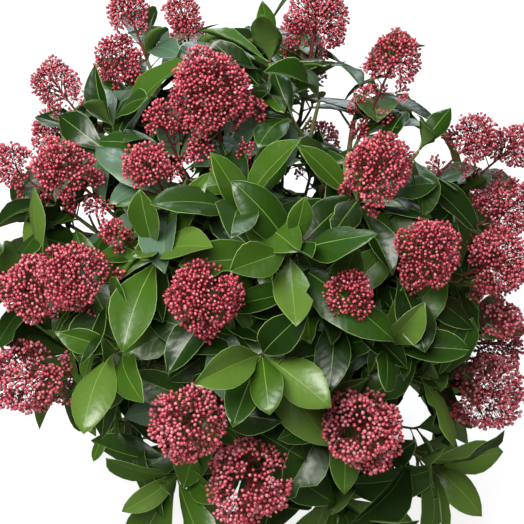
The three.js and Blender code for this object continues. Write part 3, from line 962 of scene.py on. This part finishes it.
def bead():
    """The points and faces of a round bud of 20 faces, with its poles along its stalk."""
    high, wide = 1 / math.sqrt(5), 2 / math.sqrt(5)
    turns = np.radians(np.arange(5) * 72)
    lower, upper = (
        np.stack((wide * np.cos(ring), np.full(5, height), wide * np.sin(ring)), 1)
        for height, ring in ((-high, turns), (high, turns + math.radians(36)))
    )
    points = np.concatenate(([(0, -1, 0)], lower, upper, [(0, 1, 0)]))
    faces = []
    for i in range(5):
        j = (i + 1) % 5
        faces += [(0, 1 + i, 1 + j), (1 + i, 6 + i, 1 + j)]
        faces += [(1 + j, 6 + i, 6 + j), (11, 6 + j, 6 + i)]
    return points, np.array(faces)


def thinned(points, nearest):
    """Which of some points to keep so that none is too near one before it."""
    close = np.linalg.norm(points[:, None] - points[None], axis=2) < nearest
    keep = np.zeros(len(points), bool)
    for i in range(len(points)):
        keep[i] = not (close[i] & keep).any()
    return keep


def grow_head(shoot, buds, stalks):
    """A domed head of lobes about its stalk, with smaller ones along the stalk below it."""
    random = np.random.default_rng(SEEDS.heads + shoot.index)
    late_and_painted_darker = share_of(shoot.rise, LATE_RISE)
    dome, along = dome_lobes(shoot, late_and_painted_darker, random), lower_lobes(shoot, random)
    forks, middles, ways, sizes = (np.concatenate(pair) for pair in zip(dome, along))
    knots = middles - LOBE.knot * sizes[:, None] * ways
    stalks.add(*rods(forks, knots, *BRANCH_GIRTH), 1)

    apart = mix(*LOBE.apart, late_and_painted_darker)
    grown = [lobe_tips(*lobe, apart, random) for lobe in zip(middles, ways, sizes)]
    tips = np.concatenate(grown)
    knots = np.repeat(knots, [len(part) for part in grown], 0)
    facing = unit(tips - knots)
    nodes = tips - CYME.node * facing
    points = cymes(tips, facing, random)
    nodes_of = np.repeat(nodes, CYME.buds, 0)
    keep = thinned(points, mix(*BUD.nearest, late_and_painted_darker))
    points, nodes_of = points[keep], nodes_of[keep]
    # bud tones: painted light on low heads, painted shade on high ones
    tones = np.searchsorted(mix(*BUD_TONES_PAINTED_BY_HEIGHT, late_and_painted_darker), random.random(len(points)))
    add_buds(points, nodes_of, mix(*BUD.radius, late_and_painted_darker), tones, buds, random)
    stalks.add(*rods(knots, nodes, BRANCH_GIRTH[1], BUD.stalk), 1)
    stalks.add(*rods(nodes_of, points, BUD.stalk, BUD.stalk), 0)
    add_stalk(shoot, stalks)


def around_axis(axis, turns):
    """Unit vectors square to an axis, even one straight up, at some turns about it."""
    across = square_to(axis, UP + 0.1)
    depth = np.cross(across, axis)
    return np.cos(turns)[:, None] * across + np.sin(turns)[:, None] * depth


def over_cap(axis, count, lowest, random, jitter):
    """Unit vectors spread by the golden turn over a cap about an axis, with their heights."""
    height = np.linspace(1 - 0.5 / count, lowest, count) + random.normal(0, 0.3 / count, count)
    height = np.clip(height, -1, 1)
    first = 360 * random.random()
    turns = np.radians(first + np.arange(count) * GOLDEN_TURN + random.normal(0, jitter, count))
    flat = np.sqrt(1 - height**2)
    return height[:, None] * axis + flat[:, None] * around_axis(axis, turns), height


def dome_lobes(shoot, late_and_painted_darker, random):
    """The lobes of a dome: where each leaves the stalk, its middle, the way it faces, its size."""
    radius, tall = shoot.radius, HEAD.tall
    count = round(DOME.fewest + mix(*DOME.more, late_and_painted_darker) * radius)
    out = radius * mix(*DOME.out, late_and_painted_darker) * random.uniform(*DOME.varied, count)
    ways, height = over_cap(shoot.axis, count, DOME.lowest, random, DOME.jitter)
    slim = mix(*SLIM.wide, share_of(shoot.rise, SLIM.rise))
    stretched = slim * ways + (tall - slim) * height[:, None] * shoot.axis
    middles = shoot.tip + out[:, None] * stretched
    climb = radius * (DOME.fork * tall * height - DOME.lower)
    forks = shoot.tip + climb[:, None] * shoot.axis
    sizes = LOBE.dome * radius * random.uniform(*DOME.sizes, count)
    return forks, middles, unit(stretched), sizes


def lower_lobes(shoot, random):
    """The lobes along the stalk below a dome, nearer in toward its foot."""
    first = ALONG.first * HEAD.tall * shoot.radius
    count = max(ALONG.fewest, int((shoot.stalk - first) / ALONG.apart))
    share = np.linspace(0, 1, count)
    drop = mix(first, shoot.stalk - ALONG.last, share)
    turns = np.radians(ALONG.turn + np.arange(count) * GOLDEN_TURN)
    aside = around_axis(shoot.axis, turns)
    wide = shoot.radius * mix(*ALONG.girth, share) * random.uniform(*ALONG.varied, count)
    forks = shoot.tip - (drop + ALONG.climb)[:, None] * shoot.axis
    middles = shoot.tip - drop[:, None] * shoot.axis + wide[:, None] * aside
    ways = unit(aside + ALONG.rising * shoot.axis)
    sizes = LOBE.along * shoot.radius * random.uniform(*ALONG.sizes, count)
    return forks, middles, ways, sizes


def lobe_tips(middle, way, size, apart, random):
    """Where the cymes of one lobe end."""
    area = 2 * math.pi * size**2 * (1 - LOBE.cap)
    count = max(LOBE.fewest, round(area / (PACKED * apart**2)))
    ways, _ = over_cap(way, count, LOBE.cap, random, LOBE.jitter)
    return middle + size * random.uniform(*LOBE.varied, count)[:, None] * ways


def cymes(tips, facing, random):
    """The buds of every small branch: one at its end and a ring below it."""
    turns = random.uniform(0, 2 * math.pi, len(tips))[:, None] + even_turns(CYME.buds - 1)
    across, depth = frames_of(facing)
    aside = np.cos(turns)[..., None] * across[:, None] + np.sin(turns)[..., None] * depth[:, None]
    around = tips[:, None] + CYME.spread * aside - CYME.below * facing[:, None]
    around += random.normal(0, CYME.rough, around.shape)
    return np.concatenate((tips[:, None], around), 1).reshape(-1, 3)


def add_buds(points, nodes, radius, tones, buds, random):
    """A bud at every point, with its poles in line with its own stalk."""
    shape, faces = bead()
    ahead = unit(points - nodes)
    across, depth = frames_of(ahead)
    sizes = radius * random.uniform(*BUD.sizes, len(points))
    placed = (
        shape[None, :, 0, None] * across[:, None]
        + BUD.oval * shape[None, :, 1, None] * ahead[:, None]
        + shape[None, :, 2, None] * depth[:, None]
    )
    placed = points[:, None] + placed * sizes[:, None, None]
    steps = len(shape) * np.arange(len(points))
    all_faces = (faces[None] + steps[:, None, None]).reshape(-1, 3)
    buds.add(placed.reshape(-1, 3), all_faces, np.repeat(tones, len(faces)))


def add_stalk(shoot, stalks):
    """The stalk of a flower head, from the end of its shoot up through its middle."""
    rings = STALK_MESH.rings
    foot = shoot.end - STALK_MESH.sunk * shoot.axis
    top = shoot.tip + STALK_MESH.top * shoot.radius * shoot.axis
    line = mix(foot, top, np.linspace(0, 1, rings)[:, None])
    radii = shoot.radius * np.linspace(*STALK_MESH.girth, rings)
    stalks.add(*tube(line, radii, STALK_MESH.sides), 1)


# ---- the plant


def dress_plant():
    """The whole plant, with its foliage, buds and stalks joined by kind and tier."""
    trunk, limbs = grow_limbs()
    masses, shoots = grow_shoots(limbs)
    dress_trunk(trunk)
    dress_boughs(limbs)

    parts = sorted({part_of(mass["name"]) for mass in masses})
    leaves = {name: Batch(f"leaves_{name}", "foliage", LEAF_FINISHES) for name in parts}
    buds = {name: Batch(f"buds_{name}", "flower_bud", BUD_FINISHES) for name in parts}
    stalks = {name: Batch(f"stalks_{name}", "flower_stalk", STALK_FINISHES) for name in parts}
    twigs = Batch("twigs", "green_bark", TWIG_FINISHES)

    dress_twigs(masses, shoots, twigs)
    heads = [shoot for shoot in shoots if shoot.radius]
    for shoot in heads:
        part = part_of(shoot.mass)
        grow_head(shoot, buds[part], stalks[part])
    grow_foliage(shoots, Foliage(leaves, heads), twigs)

    twigs.build([mass["name"] for mass in masses])
    for name in parts:
        members = [mass["name"] for mass in masses if part_of(mass["name"]) == name]
        for batch in (leaves[name], buds[name], stalks[name]):
            batch.build(members)


# ---- the studio

CAMERA = Sizes(rise=35, distance=1.7, lens=116.8, sensor=36)
FLOOR = Sizes(size=12, middle=(0, 2, -0.001), shade=0.22, glow=0.86)
AIR = Sizes(colour=(1, 0.98, 0.6), strength=0.12)
LAMPS = dict(
    overhead=dict(place=(-0.45, -0.9, 1.6), size=(1.1, 0.8), power=57, colour=(1, 0.98, 0.94)),
    sky=dict(place=(0.1, 1.7, 1.5), size=(1.8, 0.9), power=46, colour=(0.84, 0.93, 1)),
)
CROWN_MIDDLE = Vector((0, 0, CROWN_HEIGHT * MM))


def aim(name, data, place, way):
    """A lamp or camera at a place, looking this way."""
    thing = bpy.data.objects.new(name, data)
    thing.location = place
    thing.rotation_euler = way.to_track_quat("-Z", "Y").to_euler()
    bpy.context.scene.collection.objects.link(thing)
    return thing


def hang_lamp(name, place, size, power, colour):
    """A soft square light that shines on the middle of the crown."""
    light = bpy.data.lights.new(name, "AREA")
    light.shape = "RECTANGLE"
    light.size, light.size_y = size
    light.energy = power
    light.color = colour
    aim(name, light, place, CROWN_MIDDLE - Vector(place))


def lay_floor():
    bpy.ops.mesh.primitive_plane_add(size=FLOOR.size, location=FLOOR.middle)
    floor = bpy.context.object
    floor.name = "floor"
    material = finish("floor", (FLOOR.shade,) * 3, (0.85, 0.95), 6, 0.0)
    shader = material.node_tree.nodes["Principled BSDF"]
    with_inputs(shader, {"Emission Color": (1, 1, 1, 1), "Emission Strength": FLOOR.glow})
    floor.data.materials.append(material)
    floor.visible_glossy = False  # so that leaves over it keep their own green


def set_studio():
    lay_floor()
    world = bpy.data.worlds.new("studio")
    world.use_nodes = True
    air = world.node_tree.nodes["Background"]
    with_inputs(air, {"Color": (*AIR.colour, 1), "Strength": AIR.strength})
    bpy.context.scene.world = world
    for name, lamp in LAMPS.items():
        hang_lamp(name, **lamp)
    bpy.context.scene.view_settings.view_transform = "Standard"


def set_camera():
    rise = math.radians(CAMERA.rise)
    back = Vector((0, -math.cos(rise), math.sin(rise)))
    camera = bpy.data.cameras.new("camera")
    camera.lens = CAMERA.lens
    camera.sensor_width = CAMERA.sensor
    place = CROWN_MIDDLE + CAMERA.distance * back
    bpy.context.scene.camera = aim("camera", camera, place, -back)


dress_plant()
set_studio()
set_camera()
